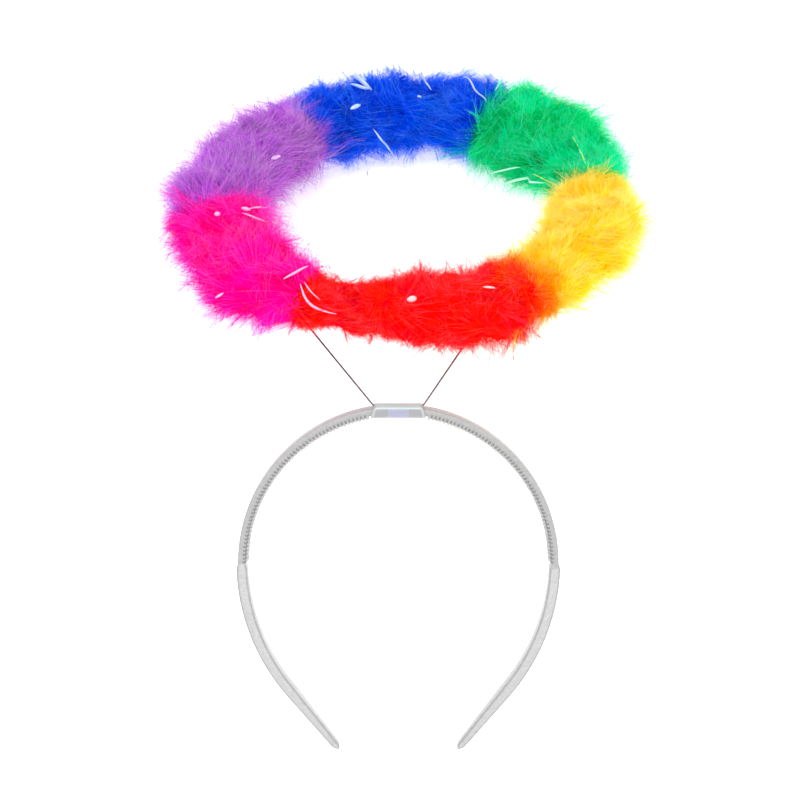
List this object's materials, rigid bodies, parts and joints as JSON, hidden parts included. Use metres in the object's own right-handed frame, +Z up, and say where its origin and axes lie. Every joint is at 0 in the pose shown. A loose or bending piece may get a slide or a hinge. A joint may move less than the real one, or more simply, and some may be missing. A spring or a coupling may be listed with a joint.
{
  "type": "halo headband",
  "caption": "Clear plastic headband with inner comb teeth, carrying a rainbow ring of feather trim over the head on two bent steel wires; it lies on its back at rest",
  "frame": {"origin": "On the floor under the middle of the part's box, as it lies on its back", "axes": "+Z up from the floor; +Y from the headband's tips towards the low back edge of the halo; +X to the wearer's left as the picture shows it, to the right of the picture"},
  "size_m": [0.2128, 0.3162, 0.1157],
  "materials": {
    "clear_plastic": "milky clear moulding with a soft gloss",
    "clear_film": "thin glossy clear film",
    "steel_wire": "dark drawn steel wire",
    "red_feather": "dyed down, matt with a soft sheen",
    "yellow_feather": "dyed down, matt with a soft sheen",
    "green_feather": "dyed down, matt with a soft sheen",
    "blue_feather": "dyed down, matt with a soft sheen",
    "purple_feather": "dyed down, matt with a soft sheen",
    "pink_feather": "dyed down, matt with a soft sheen"
  },
  "bodies": {
    "root": {"headband": "clear_plastic", "clear_sleeve": "clear_film", "support_wire": "steel_wire", "ring_wire": "steel_wire", "marabou_red": "red_feather", "marabou_yellow": "yellow_feather", "marabou_green": "green_feather", "marabou_blue": "blue_feather", "marabou_purple": "purple_feather", "marabou_pink": "pink_feather"}
  },
  "joints": []
}
